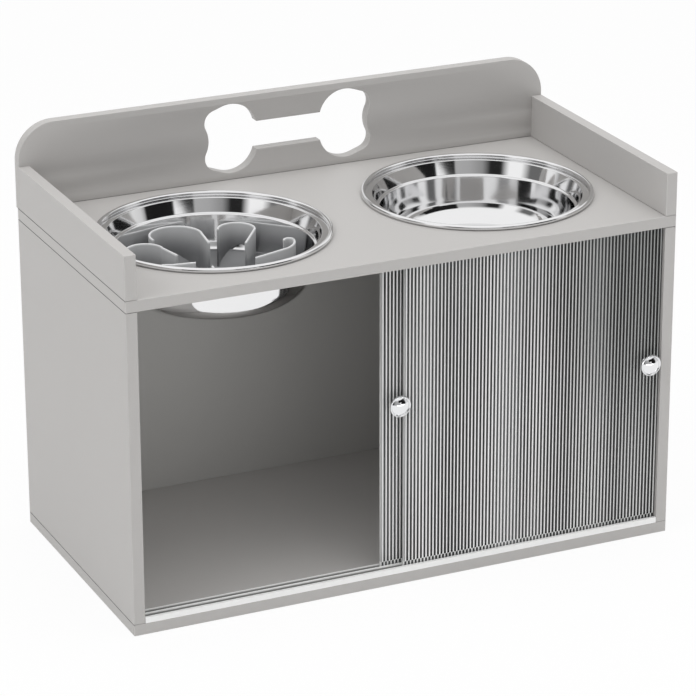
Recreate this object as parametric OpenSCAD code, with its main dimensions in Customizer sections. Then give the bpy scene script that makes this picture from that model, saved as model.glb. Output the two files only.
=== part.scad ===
// Elevated dog feeder with a storage cabinet, sliding fluted doors and two lift-out bowls.
// Millimetres. +X to the right, +Y to the back, +Z up; the origin is on the floor, at the
// centre of the cabinet's footprint. The doors stand as slid to the right.

/* [Cabinet] */
// Width of the cabinet
cab_w = 600; // [580:5:700]
// Depth of the cabinet's boards, without the rear panel
cab_d = 305; // [290:5:360]
// Height from the floor to the top board's upper face
cab_h = 352; // [300:4:420]
// Thickness of the laminated boards
board_t = 12; // [12:1:15]
// Chamfer along the boards' edges
edge_c = 0.5; // [0.3:0.1:1]
// Thickness of the rear panel
rear_panel_t = 4; // [3:0.5:5]
// How far the rear panel stays inside the cabinet's outline
rear_panel_inset = 3; // [2:0.5:4]

/* [Guards] */
// Height of the side guards above the top board
side_guard_h = 46; // [40:2:60]
// Height of the back guard above the top board
back_guard_h = 90; // [84:2:120]
// Radius of the back guard's upper corners
guard_corner_r = 40; // [20:2:44]

/* [Bone cut-out] */
// Length of the bone, end to end
bone_len = 190; // [160:5:240]
// Height of the bone's shaft
shaft_h = 30.5; // [24:0.5:34]
// Height of the bone's ends
bone_h = 75; // [70:1:78]
// Radius of the large arcs at the bone's ends
lobe_r = 30; // [28:1:32]
// Radius of the small outer arcs at the bone's ends
horn_r = 14; // [12:1:16]
// Radius of the shallow notch in each end
notch_r = 30; // [24:1:40]

/* [Doors] */
// Thickness of a door's sheet, without the ribs
sheet_t = 3; // [2.5:0.5:4]
// Height of the ribs on a door's front
rib_h = 1.2; // [0.6:0.2:1.6]
// Distance from one rib to the next
rib_pitch = 3.9; // [3:0.1:6]
// Clearance on each side of a door in its channel
channel_gap = 0.4; // [0.3:0.1:0.8]
// Overlap of the two doors when they are closed
door_overlap = 8; // [4:1:20]
// Gap between a door and the side panel that it closes against
door_end_gap = 0.5; // [0.3:0.1:1.5]
// Depth to which a door reaches into the groove above it
groove_engage = 3; // [2:0.5:4]
// Depth of the grooves in the top board
groove_depth = 8; // [7.5:0.1:8.5]

/* [Track] */
// Height of the lower track
track_h = 6; // [4:0.5:6]
// Thickness of the track's floor
track_floor = 1.2; // [1:0.1:1.6]
// Thickness of the track's front lip
track_lip = 3.4; // [2:0.2:5]
// Thickness of the wall between the channels
track_mid = 3; // [2.8:0.1:4]
// Thickness of the track's rear wall
track_back = 2; // [1.5:0.1:3]
// Thickness of the leg that is pressed into the bottom board
leg_t = 1.8; // [1.4:0.2:2.4]
// Depth of the leg
leg_d = 5; // [4:0.5:6]

/* [Knobs] */
// Radius of a knob's head
knob_r = 11.5; // [9:0.5:13]
// Radius of a knob's neck
neck_r = 4; // [3.5:0.5:5]
// How far a knob stands out from its door
knob_out = 15; // [14:0.5:22]
// Distance from a knob's axis to the edge of its door
knob_inset = 16; // [14:1:30]
// Height of the knobs above the floor
knob_z = 195; // [120:5:230]
// Gap between the left knob's neck and the right door's edge
neck_gap = 2; // [1:0.5:6]

/* [Bowls] */
// Radius of a bowl over its rolled rim
rim_r = 121; // [112:1:124]
// Radius of the rolled bead
bead_r = 2.6; // [2:0.2:3]
// Thickness of the bowl's steel sheet
steel_t = 0.8; // [0.6:0.1:1.2]
// Depth of a bowl below the top board's upper face
bowl_depth = 64; // [54:2:90]
// Depth of the ledge in the bowl's wall
ledge_depth = 14; // [12:1:18]
// Width of the ledge
ledge_w = 3; // [2:0.5:5]
// Draft angle of the wall below the ledge
wall_draft = 8; // [4:1:14]
// Radius between the wall and the floor
floor_r = 28; // [16:1:32]
// Width of the flat seat inside the rim's bead
seat_w = 7.6; // [6:0.2:9]
// Gap between a bowl's wall and the hole in the top board
bowl_gap = 1; // [0.6:0.2:2]
// Distance from a bowl's rim to the side guard
bowl_side_gap = 19; // [14:1:30]

/* [Slow-feeder insert] */
// Gap between the insert and the bowl
insert_gap = 0.5; // [0.4:0.1:1]
// Thickness of the insert's saucer
insert_t = 2; // [1.6:0.2:2.4]
// Height of the saucer's rim above the bowl's floor
saucer_h = 14; // [10:1:18]
// Depth of the fins' tops below the top board's upper face
fin_top = 21; // [18:1:26]
// Thickness of the fins
fin_t = 2.4; // [1.8:0.2:3]

/* [Fasteners] */
// Radius of the base screws' shanks
base_screw_r = 2.5; // [2:0.25:3]
// Length of the base screws
base_screw_len = 40; // [36:2:50]
// Radius of the small screws' shanks
small_screw_r = 1.9; // [1.5:0.1:2.2]
// Length of the guards' screws
guard_screw_len = 32; // [28:2:40]
// Length of the rear panel's screws
rear_screw_len = 16; // [14:1:20]
// Radius of the dowels
dowel_r = 3; // [2.5:0.5:3]
// Length of the dowels
dowel_len = 16; // [14:1:16]
// Radius of the cam locks
cam_r = 6; // [5.5:0.5:7.5]
// Depth of the cam locks in the side panels
cam_depth = 9.5; // [9:0.5:10]
// Distance from the cam's axis to the panel's upper end
cam_drop = 24; // [20:1:34]
// Clearance round screws and dowels
fit_gap = 0.05; // [0.03:0.01:0.1]

/* [Hidden] */
$fn = 96;

laminate = "#bcbab7";
steel = "#d8dadc";
zinc = "#b9bcc0";

// Planes of the cabinet
half_w = cab_w / 2;
front_y = -cab_d / 2;
rear_y = cab_d / 2;
under_z = cab_h - board_t;
inner_half = half_w - board_t;
guard_rear = rear_y + rear_panel_t;
guard_front = guard_rear - board_t;
panel_mid = half_w - board_t / 2;

// Doors and their channels; a channel's y is counted from the boards' front edges
door_t = sheet_t + rib_h;
channel_w = door_t + 2 * channel_gap;
channel_y = [track_lip, track_lip + channel_w + track_mid];
track_w = channel_y[1] + channel_w + track_back;
door_w = inner_half - door_end_gap + door_overlap / 2;
door_z = board_t + track_floor;
door_h = under_z + groove_engage - door_z;
rib_count = round(door_w / rib_pitch);
rib_w = door_w / rib_count;
rib_steps = 6;
right_door_x = inner_half - door_end_gap - door_w;
left_door_x = right_door_x - neck_gap - neck_r - knob_inset;
left_knob_x = left_door_x + knob_inset;
right_knob_x = right_door_x + door_w - knob_inset;
function door_front(row) = front_y + channel_y[row] + channel_gap;
leg_y = front_y + channel_y[1] - track_mid / 2;
leg_gap = 0.1;
leg_tip_gap = 0.5;
track_end_gap = 0.2;
knob_screw_r = 2;
knob_hole_gap = 0.2;
knob_screw_reach = 7;
knob_screw_tip = 0.5;
pan_r = 3.5;
pan_h = 1.8;
pan_c = 0.8;

// A knob's profile: the neck stays straight until it is past the front door
neck_len = channel_w + track_mid + 0.8;
foot_w = 1;
foot_h = 1.5;
dome_h = 2.2;
dome_in = 2;
dome_steps = 6;
rim_z = knob_out - dome_h;

// Fixing positions along Y, from the cabinet's middle
screw_y = 100;
base_dowel_y = 60;
cam_y = 110;
guard_screw_y = 75;
top_dowel_y = 40;
guard_screw_z = [12, 34];
head_scale = 1.9;
bolt_r = 2.5;
bolt_head_r = 3;
bolt_reach = 8;
cam_slot_w = 1.6;
cam_slot_d = 1.5;
rear_screw_r = 1.5;
rear_screw_edge = 4;
rear_cols = 4;
recess_w = 1;
recess_d = 1.2;

// Bowls
bowl_x = inner_half - bowl_side_gap - rim_r;
bowl_y = (front_y + guard_front) / 2;
hole_r = rim_r - bead_r - seat_w;
neck_in_r = hole_r - bowl_gap - steel_t;
cone_in = 4.5;
ledge_fall = 1;
ledge_r = neck_in_r - cone_in - ledge_w;
arc_z = floor_r - bowl_depth;
arc_start_z = arc_z - floor_r * sin(wall_draft);
wall_h = -ledge_depth - ledge_fall - arc_start_z;
arc_x = ledge_r - wall_h * tan(wall_draft) - floor_r * cos(wall_draft);
arc_steps = 10;

// Inside line of a bowl, from the rim to the middle of its floor, as [radius, z] over the board
bowl_line = concat(
    [[rim_r - bead_r, steel_t], [neck_in_r, steel_t],
     [neck_in_r - cone_in, -ledge_depth], [ledge_r, -ledge_depth - ledge_fall]],
    [for (i = [0 : arc_steps])
        let (a = -wall_draft - (90 - wall_draft) * i / arc_steps)
        [arc_x + floor_r * cos(a), arc_z + floor_r * sin(a)]],
    [[0, -bowl_depth]]);

function unit(v) = v / norm(v);
// The point shifted by d across the line, to its outer side, with mitred corners
function shifted(line, i, d) =
    let (last = len(line) - 1,
         u = unit(line[min(i, last - 1) + 1] - line[min(i, last - 1)]),
         v = unit(line[max(i, 1)] - line[max(i, 1) - 1]),
         n = unit([-u[1] - v[1], u[0] + v[0]]))
    line[i] + n * d / (n * [-u[1], u[0]]);
function shifted_line(line, d) = [for (i = [0 : len(line) - 1]) shifted(line, i, d)];
function flipped(line) = [for (i = [len(line) - 1 : -1 : 0]) line[i]];

function arc_points(centre, r, a0, a1, n) =
    [for (i = [0 : n]) let (a = a0 + (a1 - a0) * i / n) centre + r * [cos(a), sin(a)]];
function turned(line, sx, sy) = [for (p = line) [sx * p[0], sy * p[1]]];
function without_first(line) = [for (i = [1 : len(line) - 1]) line[i]];

// Bone: a large arc, a small arc and a hollow notch that run into each other, for the lower
// right quarter, from the shaft to the middle of the notch
outline_steps = 16;
lobe_out = 0.5;
horn_drop = 4.5;
lobe_u = bone_len / 2 - lobe_r + lobe_out;
lobe_v = bone_h / 2 - lobe_r;
horn_u = bone_len / 2 - horn_r;
horn_v = bone_h / 2 - horn_r - horn_drop;
arcs_apart = [horn_u - lobe_u, lobe_v - horn_v];
shaft_a = -180 + asin((shaft_h / 2 - lobe_v) / lobe_r);
tangent_a = atan2(arcs_apart[1], arcs_apart[0]) - acos((lobe_r - horn_r) / norm(arcs_apart));
notch_a = asin(horn_v / (horn_r + notch_r));
notch_x = horn_u + (horn_r + notch_r) * cos(notch_a);
bone_quarter = concat(
    arc_points([lobe_u, -lobe_v], lobe_r, shaft_a, tangent_a, outline_steps),
    arc_points([horn_u, -horn_v], horn_r, tangent_a, notch_a, outline_steps),
    without_first(arc_points([notch_x, 0], notch_r, 180 + notch_a, 180, outline_steps / 2)));
bone_outline = concat(
    bone_quarter, without_first(flipped(turned(bone_quarter, 1, -1))),
    turned(bone_quarter, -1, -1), without_first(flipped(turned(bone_quarter, -1, 1))));

// Lines of the insert's fins, drawn for a ledge of radius fins_for:
// [x, y, radius, first angle, last angle, tail's end x, tail's end y]
fins_for = 102;
rear_line = [-14, 68, 27, -15, 190, 8, 32];
rear_right_line = [50, 60, 19, -30, 160, 42, 16];
rear_left_line = [-60, 38, 19, -5, 185, -36, 10];
front_left_line = [-62, -30, 19, 55, 240, -28, -18];
front_line = [2, -68, 24, 160, 350, -16, -36];
right_line = [61, 10, 30, -75, -10, 34, -30];
right_hook_line = [85.5, 5.8, 5, -10, 170, 90.4, 4.9];
fin_scale = ledge_r / fins_for;
fin_steps = 14;
fin_end_steps = 6;

// Shapes shared by several pieces

// A rectangle with chamfered corners
module chamfered(w, h, c) {
    polygon([[c, 0], [w - c, 0], [w, c], [w, h - c], [w - c, h], [c, h], [0, h - c], [0, c]]);
}

// A board with its lowest corner at p and all edges chamfered
module board(p, size, c = edge_c) {
    translate(p) intersection() {
        linear_extrude(size[2]) chamfered(size[0], size[1], c);
        translate([0, size[1], 0]) rotate([90, 0, 0])
            linear_extrude(size[1]) chamfered(size[0], size[2], c);
        rotate([90, 0, 90]) linear_extrude(size[0]) chamfered(size[1], size[2], c);
    }
}

module mirrored_x() {
    for (s = [0, 1]) mirror([s, 0, 0]) children();
}

module mirrored_y() {
    for (s = [0, 1]) mirror([0, s, 0]) children();
}

// A countersunk screw along +Z, head down at z = 0; gap makes it the hole for the screw
module screw(r, length, gap = 0) {
    head = head_scale * r;
    difference() {
        union() {
            cylinder(r = r + gap, h = length - r + gap);
            translate([0, 0, length - r + gap]) cylinder(r1 = r + gap, r2 = r / 4, h = r);
            cylinder(r1 = head + gap, r2 = r + gap, h = head - r);
        }
        if (gap == 0)
            for (a = [0, 90]) rotate(a)
                translate([-r, -recess_w / 2, -1]) cube([2 * r, recess_w, 1 + recess_d]);
    }
}

// Places of the fasteners
module at_base_screws() {
    mirrored_x() mirrored_y() translate([panel_mid, screw_y, 0]) children();
}

module at_side_guard_screws() {
    mirrored_x() mirrored_y() translate([panel_mid, guard_screw_y, under_z]) children();
}

module at_back_guard_screws() {
    mirrored_x() for (z = guard_screw_z)
        translate([panel_mid, guard_rear, cab_h + z]) rotate([90, 0, 0]) children();
}

module at_rear_screws() {
    x = half_w - rear_panel_inset - rear_screw_edge;
    z0 = rear_panel_inset + rear_screw_edge;
    z1 = cab_h - z0;
    for (z = [z0, z1], i = [0 : rear_cols - 1])
        translate([-x + 2 * x * i / (rear_cols - 1), guard_rear, z]) rotate([90, 0, 0]) children();
    mirrored_x() translate([x, guard_rear, cab_h / 2]) rotate([90, 0, 0]) children();
}

module at_cams() {
    mirrored_x() mirrored_y() translate([panel_mid, cam_y, under_z]) children();
}

// The cam bolt's space: thread up into the top board, shank and head down to the cam
module cam_bolt(gap = 0) {
    translate([0, 0, -cam_drop]) cylinder(r = bolt_r + gap, h = cam_drop + bolt_reach + gap);
    translate([0, 0, -cam_drop - bolt_head_r]) cylinder(r = bolt_head_r + gap, h = 2 * bolt_head_r);
}

// The cam lock, from its panel's inner face outwards
module cam_body(gap = 0) {
    translate([-board_t / 2, 0, -cam_drop]) rotate([0, 90, 0])
        cylinder(r = cam_r + gap, h = cam_depth + gap);
}

module dowel(z, gap = 0) {
    translate([0, 0, z - dowel_len / 2 - gap]) cylinder(r = dowel_r + gap, h = dowel_len + 2 * gap);
}

module at_dowels(gap = 0) {
    mirrored_x() mirrored_y() {
        translate([panel_mid, base_dowel_y, 0]) dowel(board_t, gap);
        translate([panel_mid, top_dowel_y, 0]) dowel(under_z, gap);
    }
}

// Cabinet boards

module bottom_board() {
    color(laminate) difference() {
        board([-half_w, front_y, 0], [cab_w, cab_d, board_t]);
        translate([-inner_half, leg_y - leg_t / 2 - leg_gap, board_t - leg_d - leg_tip_gap])
            cube([2 * inner_half, leg_t + 2 * leg_gap, leg_d + leg_tip_gap + 1]);
        at_base_screws() screw(base_screw_r, base_screw_len, fit_gap);
        at_dowels(fit_gap);
        at_rear_screws() screw(rear_screw_r, rear_screw_len, fit_gap);
    }
}

module side_panel() {
    difference() {
        board([inner_half, front_y, board_t], [board_t, cab_d, under_z - board_t]);
        at_base_screws() screw(base_screw_r, base_screw_len, fit_gap);
        at_dowels(fit_gap);
        at_cams() {
            cam_body(fit_gap);
            cam_bolt(fit_gap);
        }
        at_rear_screws() screw(rear_screw_r, rear_screw_len, fit_gap);
    }
}

module left_side_panel() {
    color(laminate) mirror([1, 0, 0]) side_panel();
}

module right_side_panel() {
    color(laminate) side_panel();
}

module top_board() {
    color(laminate) difference() {
        board([-half_w, front_y, under_z], [cab_w, cab_d, board_t]);
        mirrored_x() translate([bowl_x, bowl_y, under_z - 1]) cylinder(r = hole_r, h = board_t + 2);
        for (y = channel_y)
            translate([-inner_half, front_y + y, under_z - 1])
                cube([2 * inner_half, channel_w, groove_depth + 1]);
        at_cams() cam_bolt(fit_gap);
        at_dowels(fit_gap);
        at_side_guard_screws() screw(small_screw_r, guard_screw_len, fit_gap);
        at_rear_screws() screw(rear_screw_r, rear_screw_len, fit_gap);
    }
}

module rear_panel() {
    i = rear_panel_inset;
    color("#a9a8a6") difference() {
        translate([-half_w + i, rear_y, i]) cube([cab_w - 2 * i, rear_panel_t, cab_h - 2 * i]);
        at_rear_screws() screw(rear_screw_r, rear_screw_len, fit_gap);
    }
}

// Guards on the top board

module side_guard() {
    difference() {
        board([inner_half, front_y, cab_h], [board_t, guard_front - front_y, side_guard_h]);
        at_side_guard_screws() screw(small_screw_r, guard_screw_len, fit_gap);
        at_back_guard_screws() screw(small_screw_r, guard_screw_len, fit_gap);
    }
}

module left_side_guard() {
    color(laminate) mirror([1, 0, 0]) side_guard();
}

module right_side_guard() {
    color(laminate) side_guard();
}

module back_guard() {
    corner = [half_w - guard_corner_r, back_guard_h - guard_corner_r];
    right_corner = arc_points(corner, guard_corner_r, 0, 90, outline_steps);
    color(laminate) difference() {
        translate([0, guard_rear, cab_h]) rotate([90, 0, 0]) linear_extrude(board_t) difference() {
            polygon(concat([[-half_w, 0], [half_w, 0]], right_corner,
                           flipped(turned(right_corner, -1, 1))));
            translate([0, back_guard_h / 2]) polygon(bone_outline);
        }
        at_back_guard_screws() screw(small_screw_r, guard_screw_len, fit_gap);
    }
}

// Track and doors

module lower_track() {
    length = 2 * (inner_half - track_end_gap);
    color("white") translate([-length / 2, front_y, board_t]) rotate([90, 0, 90])
        linear_extrude(length) {
            difference() {
                square([track_w, track_h]);
                for (y = channel_y) translate([y, track_floor]) square([channel_w, track_h]);
            }
            translate([leg_y - front_y - leg_t / 2, -leg_d]) square([leg_t, leg_d + track_floor]);
        }
}

// A door with its left edge at x = 0 and its rib tops at y = 0
module door(hole_x) {
    ribs = [for (i = [0 : rib_count * rib_steps])
        [i * rib_w / rib_steps, rib_h * (1 - abs(sin(180 * i / rib_steps)))]];
    difference() {
        linear_extrude(door_h) polygon(concat(ribs, [[door_w, door_t], [0, door_t]]));
        translate([hole_x, -1, knob_z - door_z]) rotate([-90, 0, 0])
            cylinder(r = knob_screw_r + knob_hole_gap, h = door_t + 2);
    }
}

module left_door() {
    color("#c9d3d6") translate([left_door_x, door_front(1), door_z]) door(knob_inset);
}

module right_door() {
    color("#c9d3d6") translate([right_door_x, door_front(0), door_z]) door(door_w - knob_inset);
}

// A knob along +Z, standing on its door at z = 0
module knob() {
    dome_r = knob_r - dome_in;
    under_rim = [[neck_r, neck_len], [knob_r - 2.5, neck_len + 1.2], [knob_r - 0.5, rim_z - 1.6]];
    rim = [[knob_r, rim_z - 0.8], [knob_r, rim_z + 0.2], [knob_r - 0.6, rim_z + 0.8],
           [knob_r - 1.3, rim_z + 0.5]];
    dome = [for (i = [0 : dome_steps])
        let (a = 90 * i / dome_steps) [dome_r * cos(a), rim_z + dome_h * sin(a)]];
    difference() {
        rotate_extrude() polygon(concat(
            [[0, 0], [neck_r + foot_w, 0], [neck_r, foot_h]], under_rim, rim, dome));
        translate([0, 0, -1])
            cylinder(r = knob_screw_r + fit_gap, h = 1 + knob_screw_reach + knob_screw_tip);
    }
}

// A pan-head screw from the back of a door into its knob, along +Z
module knob_screw() {
    difference() {
        union() {
            translate([0, 0, -door_t]) cylinder(r = knob_screw_r, h = door_t + knob_screw_reach);
            translate([0, 0, -door_t - pan_h]) {
                cylinder(r1 = pan_r - pan_c, r2 = pan_r, h = pan_c);
                translate([0, 0, pan_c]) cylinder(r = pan_r, h = pan_h - pan_c);
            }
        }
        for (a = [0, 90]) rotate(a)
            translate([-knob_screw_r, -recess_w / 2, -door_t - pan_h - 1])
                cube([2 * knob_screw_r, recess_w, 1 + recess_d]);
    }
}

module at_left_knob() {
    translate([left_knob_x, door_front(1), knob_z]) rotate([90, 0, 0]) children();
}

module at_right_knob() {
    translate([right_knob_x, door_front(0), knob_z]) rotate([90, 0, 0]) children();
}

module left_knob() {
    color(steel) at_left_knob() knob();
}

module right_knob() {
    color(steel) at_right_knob() knob();
}

module left_knob_screw() {
    color(zinc) at_left_knob() knob_screw();
}

module right_knob_screw() {
    color(zinc) at_right_knob() knob_screw();
}

// Bowls

module bowl() {
    rotate_extrude() {
        polygon(concat(bowl_line, flipped(shifted_line(bowl_line, steel_t))));
        translate([rim_r - bead_r, bead_r]) circle(bead_r);
    }
}

module left_bowl() {
    color(steel) translate([-bowl_x, bowl_y, cab_h]) bowl();
}

module right_bowl() {
    color(steel) translate([bowl_x, bowl_y, cab_h]) bowl();
}

// The insert is as much smaller than the bowl as it is lowered, so its floor lies on the bowl's
module at_insert() {
    color("#a3a8ad") translate([-bowl_x, bowl_y, cab_h - insert_gap]) children();
}

module insert_saucer() {
    at_insert() rotate_extrude() intersection() {
        polygon(concat(shifted_line(bowl_line, -insert_gap),
                       flipped(shifted_line(bowl_line, -insert_gap - insert_t))));
        translate([0, -2 * bowl_depth]) square([rim_r, bowl_depth + insert_gap + saucer_h]);
    }
}

// The outline of a fin: an arc with a straight tail towards the middle, both ends round
module fin_outline(f) {
    centre = [f[0], f[1]] * fin_scale;
    path = concat([[f[5], f[6]] * fin_scale],
                  arc_points(centre, f[2] * fin_scale, f[3], f[4], fin_steps));
    half_t = fin_t / 2;
    along = path[1] - path[0];
    tail_a = atan2(along[1], along[0]);
    polygon(concat(
        shifted_line(path, half_t),
        without_first(arc_points(path[fin_steps + 1], half_t, f[4] + 180, f[4], fin_end_steps)),
        without_first(flipped(shifted_line(path, -half_t))),
        without_first(arc_points(path[0], half_t, tail_a - 90, tail_a - 270, fin_end_steps))));
}

// A fin along the given lines, standing on the saucer and clear of the bowl's wall
module fin(lines) {
    at_insert() intersection() {
        translate([0, 0, -bowl_depth]) linear_extrude(bowl_depth - fin_top + insert_gap)
            for (line = lines) fin_outline(line);
        rotate_extrude() polygon(concat(shifted_line(bowl_line, -insert_gap - insert_t), [[0, 0]]));
    }
}

// Fasteners

module base_screws() {
    color(zinc) at_base_screws() screw(base_screw_r, base_screw_len);
}

module panel_dowels() {
    color("#c8a878") at_dowels();
}

module cam_locks() {
    color(zinc) at_cams() difference() {
        cam_body();
        cam_bolt(2 * fit_gap);
        for (a = [0, 90]) translate([-board_t / 2 - 1, 0, -cam_drop]) rotate([a, 0, 0])
            translate([0, -cam_r / 2, -cam_slot_w / 2]) cube([1 + cam_slot_d, cam_r, cam_slot_w]);
    }
}

module cam_bolts() {
    color(zinc) at_cams() cam_bolt();
}

module side_guard_screws() {
    color(zinc) at_side_guard_screws() screw(small_screw_r, guard_screw_len);
}

module back_guard_screws() {
    color(zinc) at_back_guard_screws() screw(small_screw_r, guard_screw_len);
}

module rear_panel_screws() {
    color(zinc) at_rear_screws() screw(rear_screw_r, rear_screw_len);
}

bottom_board();
left_side_panel();
right_side_panel();
top_board();
rear_panel();
left_side_guard();
right_side_guard();
back_guard();
lower_track();
left_door();
right_door();
left_knob();
right_knob();
left_knob_screw();
right_knob_screw();
left_bowl();
right_bowl();
insert_saucer();
fin([rear_line]);  // insert_rear_fin
fin([rear_right_line]);  // insert_rear_right_fin
fin([rear_left_line]);  // insert_rear_left_fin
fin([front_left_line]);  // insert_front_left_fin
fin([front_line]);  // insert_front_fin
fin([right_line, right_hook_line]);  // insert_right_fin
base_screws();
panel_dowels();
cam_locks();
cam_bolts();
side_guard_screws();
back_guard_screws();
rear_panel_screws();
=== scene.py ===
import bpy
import bmesh
import math
from mathutils import Matrix, Vector


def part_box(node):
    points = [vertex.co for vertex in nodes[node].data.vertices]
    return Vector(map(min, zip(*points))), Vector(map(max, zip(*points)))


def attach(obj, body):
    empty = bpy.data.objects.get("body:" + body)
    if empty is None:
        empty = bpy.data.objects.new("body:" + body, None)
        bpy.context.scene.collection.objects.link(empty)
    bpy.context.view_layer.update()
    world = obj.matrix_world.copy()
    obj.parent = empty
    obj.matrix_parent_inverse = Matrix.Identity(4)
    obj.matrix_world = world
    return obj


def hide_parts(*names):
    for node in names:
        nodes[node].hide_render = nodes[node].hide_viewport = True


# Elevated dog feeder: two bowls in a cabinet with guards and sliding fluted doors.
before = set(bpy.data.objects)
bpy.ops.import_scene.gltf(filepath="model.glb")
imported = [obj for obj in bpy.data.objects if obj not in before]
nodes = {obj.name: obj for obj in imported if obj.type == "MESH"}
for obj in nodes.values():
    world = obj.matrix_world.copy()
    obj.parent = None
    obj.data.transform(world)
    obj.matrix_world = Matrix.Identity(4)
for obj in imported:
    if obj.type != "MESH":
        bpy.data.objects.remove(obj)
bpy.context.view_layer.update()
print("frame:", len(nodes), "nodes")

mm = 0.001  # sizes in the dictionaries are millimetres, unless a note says metres
cabinet = {"width": 600, "depth": 305, "height": 352, "board": 12, "rearPanel": 4}
halfWidth = cabinet["width"] / 2
frontY = -cabinet["depth"] / 2
guardRearY = cabinet["depth"] / 2 + cabinet["rearPanel"]
guardFrontY = guardRearY - cabinet["board"]
innerHalf = halfWidth - cabinet["board"]
underZ = cabinet["height"] - cabinet["board"]
panelMid = halfWidth - cabinet["board"] / 2


# Finishes

class Wire:
    # one output of a node; an expression on it adds Math nodes
    def __init__(self, finish, socket):
        self.finish, self.socket = finish, socket

    def maths(self, operation, *values):
        return self.finish.add("ShaderNodeMath", {"operation": operation}, values)

    def __add__(self, other): return self.maths("ADD", self, other)
    def __radd__(self, other): return self.maths("ADD", other, self)
    def __sub__(self, other): return self.maths("SUBTRACT", self, other)
    def __rsub__(self, other): return self.maths("SUBTRACT", other, self)
    def __mul__(self, other): return self.maths("MULTIPLY", self, other)
    def __rmul__(self, other): return self.maths("MULTIPLY", other, self)
    def __truediv__(self, other): return self.maths("DIVIDE", self, other)
    def __abs__(self): return self.maths("ABSOLUTE", self)
    def sine(self): return self.maths("SINE", self)
    def atLeast(self, other): return self.maths("MAXIMUM", self, other)
    def atMost(self, other): return self.maths("MINIMUM", self, other)

    def between(self, low, high):
        # 0 below low, 1 above high, smooth in the middle
        return self.finish.add("ShaderNodeMapRange", {"interpolation_type": "SMOOTHSTEP"},
                               {"Value": self, "From Min": low, "From Max": high})


class Finish:
    # a material around one Principled shader; add() makes all its nodes
    def __init__(self, name, **constants):
        self.material = bpy.data.materials.new(name)
        self.material.use_nodes = True
        self.tree = self.material.node_tree
        self.shader = next(n for n in self.tree.nodes if n.type == "BSDF_PRINCIPLED")
        for socket, value in constants.items():
            self.shader.inputs[socket.replace("_", " ")].default_value = value

    def add(self, kind, settings=None, values=(), out=0):
        node = self.tree.nodes.new(kind)
        for key, value in (settings or {}).items():
            if key == "stops":
                ramp = node.color_ramp
                while len(ramp.elements) < len(value):
                    ramp.elements.new(0.5)
                for element, (at, colour) in zip(ramp.elements, value):
                    element.position = at
                    element.color = colour
            else:
                setattr(node, key, value)
        pairs = values.items() if isinstance(values, dict) else enumerate(values)
        for key, value in pairs:
            if isinstance(value, Wire):
                self.tree.links.new(value.socket, node.inputs[key])
            else:
                node.inputs[key].default_value = value
        return Wire(self, node.outputs[out])

    def place(self, scale=(1, 1, 1), shift=(0, 0, 0)):
        # Object coordinates, in metres from the floor under the cabinet's middle
        at = self.add("ShaderNodeTexCoord", out="Object")
        return self.add("ShaderNodeMapping", None, {"Vector": at, "Location": shift, "Scale": scale})

    def parts(self, vector, *axes):
        return [self.add("ShaderNodeSeparateXYZ", None, [vector], out=axis) for axis in axes]

    def noise(self, place, scale, detail=3.0, rough=0.5):
        return self.add("ShaderNodeTexNoise", {"noise_dimensions": "3D"},
                        {"Vector": place, "Scale": scale, "Detail": detail, "Roughness": rough}, out="Fac")

    def blend(self, factor, low, high):
        # the inputs of a colour Mix node are numbered: 0 factor, 6 and 7 colours
        return self.add("ShaderNodeMix", {"data_type": "RGBA"}, {0: factor, 6: low, 7: high}, out=2)

    def bump(self, height, strength, distance):
        return self.add("ShaderNodeBump", None,
                        {"Height": height, "Strength": strength, "Distance": distance})

    def wear(self, **sockets):
        for socket, wire in sockets.items():
            self.tree.links.new(wire.socket, self.shader.inputs[socket.replace("_", " ")])
        return self.material


def edgeDistances(finish, low, high):
    # how far a point is inside each pair of faces of the box between low and high
    place = finish.add("ShaderNodeTexCoord", out="Object")
    return [(b - a) / 2 - abs(part - (a + b) / 2) for part, a, b in zip(finish.parts(place, 0, 1, 2), low, high)]


def edgeBand(near, width):
    # 1 along the edges of a box, 0 away from them
    a, b, c = near
    second = a.atMost(b).atLeast(a.atLeast(b).atMost(c))
    return 1 - second.between(0, width)


laminateLook = {"face": (0.512, 0.499, 0.487, 1), "shade": (0.49, 0.478, 0.466, 1),
                # edge: a painted highlight along the boards' edges
                "edge": (0.57, 0.557, 0.545, 1), "edgeHighlightShare": 0.8, "bandWidth": 0.9,
                # joint: painted shade where two boards meet
                "joint": (0.09, 0.088, 0.085, 1), "jointShadeShare": 0.85, "jointWidth": 0.8,
                "cloud": 7, "speckle": 900, "grain": (40, 40, 400), "shares": (0.5, 0.3, 0.2),
                "roughness": 0.46, "skin": 1400, "skinDepth": 0.2}
boardJoints = (cabinet["board"], underZ, cabinet["height"])


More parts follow.
